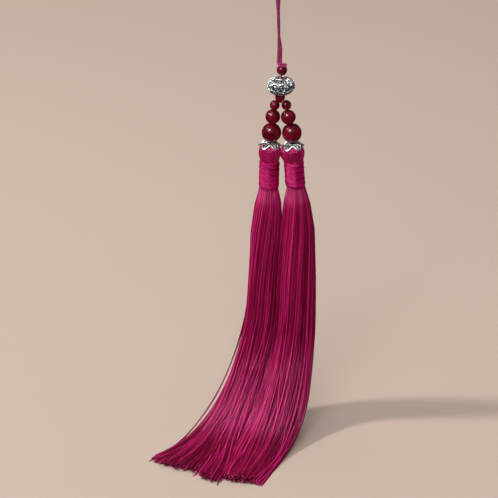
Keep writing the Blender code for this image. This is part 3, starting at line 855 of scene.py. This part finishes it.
for side in NECKS:
    draw = random.Random(BINDING_SEEDS[side])
    heights, radii = np.array(BINDING_LINES[side]).T
    foot, head = heights[0], heights[-1]
    bottom, top = foot + BINDING_THICK / 2, head - BINDING_THICK / 2
    turn_count = round((top - bottom) / BINDING_PITCH)
    turns = np.linspace(0, turn_count, turn_count * BINDING_STEPS + 1)
    layers = []
    for inset in BINDING_LAYERS:
        knocks = [draw.uniform(-KNOCK, KNOCK) for _ in range(turn_count + 1)]
        height = bottom + (top - bottom) * turns / turn_count
        angle = 2 * math.pi * (turns + inset)
        if inset == 0.0:
            room = SLANT_EASE * np.minimum(height - bottom, top - height)
            height = height + np.minimum(room, WOUND_SLANT) * np.sin(angle - SLANT_PHASE)
        height = height + np.interp(turns, range(turn_count + 1), knocks)
        swell = np.interp(turns, range(turn_count + 1), knocks[::-1]) * SWELL_SHARE
        line = np.interp(height, heights, radii)
        radius = line - BINDING_THICK / 2 - BINDING_BED + swell - inset
        layers.append(wound_route(radius, angle, height))
    # every other turn is painted lighter and the rest darker, painted light and shade, with a
    # random spread
    turn_tones = [
        WOUND_TONE + (TONE_STEP, -TONE_STEP)[k % 2] + draw.uniform(-TONE_SPREAD, TONE_SPREAD)
        for k in range(turn_count + 1)
    ]
    turn_tones = np.array(turn_tones)[(turns + TONE_SHIFT).astype(int).clip(0, turn_count)]
    layers = to_side(np.array(layers), side)
    # the inner layer is painted darker, painted shade under the outer turns
    layer_tones = (turn_tones, turn_tones * UNDER_TONE)
    name = "binding_thread_" + side
    wound_mesh = thread_mesh(name, layers, BINDING_THICK, BINDING_SIDES, layer_tones)
    add_piece(name, wound_mesh, binding_silk, "wrapping", "binding_" + side)

    crossing = []
    lowest, highest = foot + CROSSING_ENDS[0], head - CROSSING_ENDS[1]
    for level in np.linspace(lowest, highest, CROSSING_TURNS):
        below, above = CROSSING_ROOM
        room = min(MOST_SLANT, level - foot - below, head - above - level)
        slant = room * draw.choice((-1, 1)) * draw.uniform(LEAST_SLANT, 1.0)
        angle = np.linspace(0, 2 * math.pi, BINDING_STEPS + 1) + draw.uniform(0, CROSSING_PHASE)
        height = level + slant * np.sin(angle - CROSSING_PHASE)
        radius = np.interp(height, heights, radii) - CROSSING_BED
        crossing.append(wound_route(radius, angle, height))
    crossing_tones = [draw.uniform(*CROSSING_TONES) for _ in crossing]
    crossing = to_side(np.array(crossing), side)
    name = "binding_cross_" + side
    crossing_mesh = thread_mesh(name, crossing, BINDING_THICK, BINDING_SIDES, crossing_tones)
    add_piece(name, crossing_mesh, binding_silk, "wrapping")

# ---------------------------------------------------------------- skirts
# Some 500 strands of two-ply silk hang from each neck. They fall plumb, bend forward where
# they meet the sheet and lie level on it, fanned out, with their ends cut a little ragged.
# Towards their tips most strands are painted darker, painted shade, and a few lighter, painted
# highlights.
SKIRT_STRANDS = 500
SKIRT_THICK = 0.5
STRAND_STOPS = 23
STRAND_SIDES = 4
# share of a strand's stops, share of its length that they cover: they are closer lower down
STOP_SPREAD = ((0, 0.25, 1), (0, 0.4, 1))
BEND_RADIUS = 50.0
END_HALF_DEPTH = 1.6
PLACE_JITTER = 0.014
RAGGED = 2.4  # how much shorter the shortest strand of a lock is
# gaps between tufts at a skirt's end: place across it, how far it stands back, half width
TUFT_GAPS = {
    "left": ((0.2, 8.0, 0.09), (0.62, 4.0, 0.05), (1.0, 9.0, 0.12)),
    "right": ((-1.0, 9.0, 0.16), (0.1, 4.0, 0.08)),
}
LOCKS = {"left": 34, "right": 18}  # locks that the strands' ends gather in
LOCK_BACK = 4.4  # how far the shortest lock stands back
LOCK_EVENNESS = 1.3  # over 1 makes the short locks fewer
LOCK_DRAW = 0.5  # how far a lock's ends draw together
LOCK_GROWTH = 3  # over 1 keeps that to the skirt's lower part
END_STEP = 0.002  # the last short step of a strand, as a share of it
WANDER = 0.12  # sideways drift of a strand at its end, as a share of the half width
ROOT_WANDER = 0.1  # and at its root, beside that
WANDER_GROWTH = 2.5
DRIFT_WAVES = ((0.7, 0.8), (1.7, 0.7), (3.3, 0.35))  # waves down a strand, their size
GOLDEN_TURN = math.pi * (3 - math.sqrt(5))
LOOSE_STRANDS = 60  # strands on the outside that lie across the others
LOOSE_SWAY = 0.3
LOOSE_WAVE = 4
ROOT_SWAY = 0.2
SKIRT_EDGE = 0.9  # strands that drift past this are held back softly
EDGE_ROOM = 0.2
# distances down the skirt, and how far the strands' tones go over from the root's to the tip's,
# # where most are painted darker, painted shade, and a few lighter
ROOT_TO_TIP = ((0, 60, 90, 118, 148), (0.0, 0.0, 0.35, 0.9, 1.0))
# lightness at the root and at the tip, where it is lower as painted shade: of the darkest
# # strand, what the lightest has over it, and how few are light
ROOT_TONES = (0.19, 0.85, 2)
TIP_SHADED_TONES = (-0.02, 0.24, 1.5)
TIP_PAINTED_GLINTS = (0.86, 0.14, 0.6)  # painted highlights: the lots from here on, their spread, what they gain at the tip
# a painted highlight that the loose strands gain at the tip
LOOSE_PAINTED_LIGHT = 0.15
PAINTED_GLINT_EVERY = 4  # one loose strand in four gets a painted highlight at its tip
PAINTED_GLINT_TONE = 0.9
STRAY_TONE = 0.1
# down the skirt, sideways shift, half width, half depth, slant of the depth
SKIRTS = {
    "left": (
        (-3.0, 0.0, 3.3, 3.3, 0.00),
        (0.2, 0.0, 4.2, 4.2, 0.00),
        (1.5, 0.0, 4.55, 4.5, 0.01),
        (4, -0.1, 5.1, 4.9, 0.04),
        (12, -0.4, 6.3, 6.0, 0.15),
        (36, -1.7, 6.2, 7.8, 0.33),
        (62, -2.7, 6.5, 7.6, 0.44),
        (81, -3.5, 7.0, 6.5, 0.39),
        (100, -4.3, 8.4, 4.6, 0.27),
        (118, -4.2, 11.5, 2.9, 0.11),
        (136, -2.5, 15.9, END_HALF_DEPTH, 0.00),
        (148.5, -2.0, 18.8, END_HALF_DEPTH, 0.00),
    ),
    "right": (
        (-3.0, 0.0, 3.4, 3.4, 0.00),
        (-1.1, 0.0, 4.15, 4.15, 0.00),
        (0.6, 0.0, 4.5, 4.4, 0.01),
        (4, 0.2, 5.25, 4.9, 0.04),
        (12, 0.8, 6.6, 5.8, 0.15),
        (36, 0.9, 8.0, 7.1, 0.33),
        (62, 0.7, 8.5, 7.2, 0.44),
        (81, 0.4, 9.3, 6.4, 0.39),
        (100, -0.6, 11.2, 5.0, 0.27),
        (118, -2.2, 11.8, 3.1, 0.11),
        (136, -3.2, 10.5, END_HALF_DEPTH, 0.00),
        (148, -3.3, 9.4, END_HALF_DEPTH, 0.00),
    ),
}
# strands that stray out of the skirt: place across and through it, most it strays by
STRAYS = {
    "left": ((-0.99, -0.1, -0.45), (-0.98, 0.2, -0.3)),
    "right": ((0.97, 0.1, 0.1), (-0.9, -0.4, -0.12)),
}
STRAY_SPAN = (0.36, 0.58)  # share of its length where it leaves the skirt, share it is out for
STRAY_BOW = 1.3


def between_rows(rows, down):
    """The skirt's section at each distance down it, on smooth curves through the rows."""
    rows = np.array(rows, float)
    where = rows[:, 0]
    slopes = np.gradient(rows, where, axis=0)
    i = np.clip(np.searchsorted(where, down, side="right") - 1, 0, len(rows) - 2)
    span = where[i + 1] - where[i]
    w = ((down - where[i]) / span)[..., None]
    ease = (1 + 2 * w) * (1 - w) ** 2
    start = rows[i] * ease + slopes[i] * span[..., None] * w * (1 - w) ** 2
    end = rows[i + 1] * (1 - ease) - slopes[i + 1] * span[..., None] * w**2 * (1 - w)
    return np.moveaxis(start + end, -1, 0)[1:]


def skirt_routes(side, across, through, down):
    """Points of strands from their place in the skirt's round section, as three arrays of
    the same shape: across and through it from -1 to 1, and the distance down it."""
    foot = np.array(NECKS[side]["foot"])
    heading = math.radians(NECKS[side]["heading"])
    aside, half_width, half_depth, slant = between_rows(SKIRTS[side], down)
    half_width = half_width - SKIRT_THICK / 2
    half_depth = half_depth - SKIRT_THICK / 2
    plumb = FLOOR_DROP - END_HALF_DEPTH - BEND_RADIUS + foot[2]
    lean = np.clip((down - plumb) / BEND_RADIUS, 0, math.pi / 2)
    level_run = np.maximum(down - plumb - BEND_RADIUS * math.pi / 2, 0)
    reach = BEND_RADIUS * (1 - np.cos(lean)) + level_run
    fall = np.minimum(down, plumb) + BEND_RADIUS * np.sin(lean)
    level = np.array((-math.sin(heading), -math.cos(heading), 0.0))
    up = np.array((0.0, 0.0, 1.0))
    right = np.array((1.0, 0.0, 0.0))
    centre = foot + level * reach[..., None] - up * fall[..., None] + right * aside[..., None]
    along = level * np.sin(lean)[..., None] - up * np.cos(lean)[..., None]
    turn = heading * np.sin(lean)
    width = np.stack((np.cos(turn), -np.sin(turn), np.zeros_like(turn)), axis=-1)
    width -= along * (width * along).sum(axis=-1, keepdims=True)
    width /= np.linalg.norm(width, axis=-1, keepdims=True)
    depth = np.cross(along, width)
    settled = np.sin(lean) ** 2 * (1 - np.sqrt(np.clip(1 - across**2, 0, 1)))
    wide = half_width * across - slant * half_depth * through
    deep = half_depth * (through - settled)
    return centre + width * wide[..., None] + depth * deep[..., None]


for side in NECKS:
    root, tip = SKIRTS[side][0][0], SKIRTS[side][-1][0]
    shuffle = np.random.default_rng(STRAND_SEEDS[side])
    order = np.arange(SKIRT_STRANDS) + 0.5
    reach = np.sqrt(order / SKIRT_STRANDS)
    angle = order * GOLDEN_TURN
    start = np.stack((reach * np.cos(angle), reach * np.sin(angle)))
    start = start + shuffle.normal(0, PLACE_JITTER, start.shape)

    lengths = tip - RAGGED * shuffle.random(SKIRT_STRANDS)
    lock = np.clip(((start[0] + 1) / 2 * LOCKS[side]).astype(int), 0, LOCKS[side] - 1)
    lengths -= LOCK_BACK * (shuffle.random(LOCKS[side]) ** LOCK_EVENNESS)[lock]
    lock_middle = (lock + 0.5) / LOCKS[side] * 2 - 1
    for gap, back, half_gap in TUFT_GAPS[side]:
        lengths -= back * np.exp(-(((start[0] - gap) / half_gap) ** 2))
    share = np.interp(np.linspace(0, 1, STRAND_STOPS - 1), *STOP_SPREAD)
    share = np.append(share, 1 - END_STEP)
    share.sort()
    down = root + (lengths[:, None] - root) * share

    drift = np.zeros((2, SKIRT_STRANDS, STRAND_STOPS))
    for waves, size in DRIFT_WAVES:
        phase = shuffle.uniform(0, 2 * math.pi, (2, SKIRT_STRANDS, 1))
        height = shuffle.normal(0, size, (2, SKIRT_STRANDS, 1))
        drift += height * np.sin(2 * math.pi * waves * share + phase)
    freedom = WANDER * (ROOT_WANDER + (1 - ROOT_WANDER) * share**WANDER_GROWTH)
    sway = LOOSE_SWAY * shuffle.normal(0, 1, (SKIRT_STRANDS, 1))
    sway = sway * (ROOT_SWAY + (1 - ROOT_SWAY) * share)
    phase = shuffle.uniform(0, 2 * math.pi, (SKIRT_STRANDS, 1))
    sway = sway * np.sin(LOOSE_WAVE * share + phase)
    sway[:-LOOSE_STRANDS] = 0.0
    across = start[0][:, None] * np.cos(sway) - start[1][:, None] * np.sin(sway)
    through = start[0][:, None] * np.sin(sway) + start[1][:, None] * np.cos(sway)
    place = np.stack((across, through)) + drift * freedom
    place[0] += LOCK_DRAW * (lock_middle - start[0])[:, None] * share**LOCK_GROWTH
    leave, out_for = STRAY_SPAN
    bow = np.sin(math.pi * np.clip((share - leave) / out_for, 0, 1)) ** STRAY_BOW
    strays = len(STRAYS[side])
    for k, (stray_across, stray_through, stray_by) in enumerate(STRAYS[side]):
        place[0, k] = stray_across + stray_by * bow
        place[1, k] = stray_through
    radius = np.maximum(np.linalg.norm(place, axis=0), 1e-6)
    held_back = SKIRT_EDGE + EDGE_ROOM * np.tanh((radius - SKIRT_EDGE) / EDGE_ROOM)
    kept = np.where(radius < SKIRT_EDGE, radius, held_back) / radius
    kept[:strays] = 1.0
    across, through = place * kept
    routes = skirt_routes(side, across, through, down)

    lot = shuffle.random((SKIRT_STRANDS, 1))
    # tones go over from the root's to the tip's darker ones, painted shade, with painted
    # highlights on a few strands
    shaded_tip_share = np.interp(down, *ROOT_TO_TIP)
    darkest, gain, fewness = ROOT_TONES
    root_tones = darkest + gain * lot**fewness
    darkest, gain, fewness = TIP_SHADED_TONES
    first_lot, lot_spread, glint = TIP_PAINTED_GLINTS
    tip_shade_and_glint_tones = darkest + gain * lot**fewness
    tip_shade_and_glint_tones = tip_shade_and_glint_tones + glint * np.maximum(lot - first_lot, 0) / lot_spread
    tip_shade_and_glint_tones[-LOOSE_STRANDS:] += LOOSE_PAINTED_LIGHT
    tip_shade_and_glint_tones[-LOOSE_STRANDS::PAINTED_GLINT_EVERY] = PAINTED_GLINT_TONE
    tones = (1 - shaded_tip_share) * root_tones + shaded_tip_share * tip_shade_and_glint_tones
    tones[:strays] = STRAY_TONE
    skirt_mesh = thread_mesh("skirt_" + side, routes, SKIRT_THICK, STRAND_SIDES, tones)
    add_piece("skirt_" + side, skirt_mesh, head_silk, "silk", "tassel_" + side)
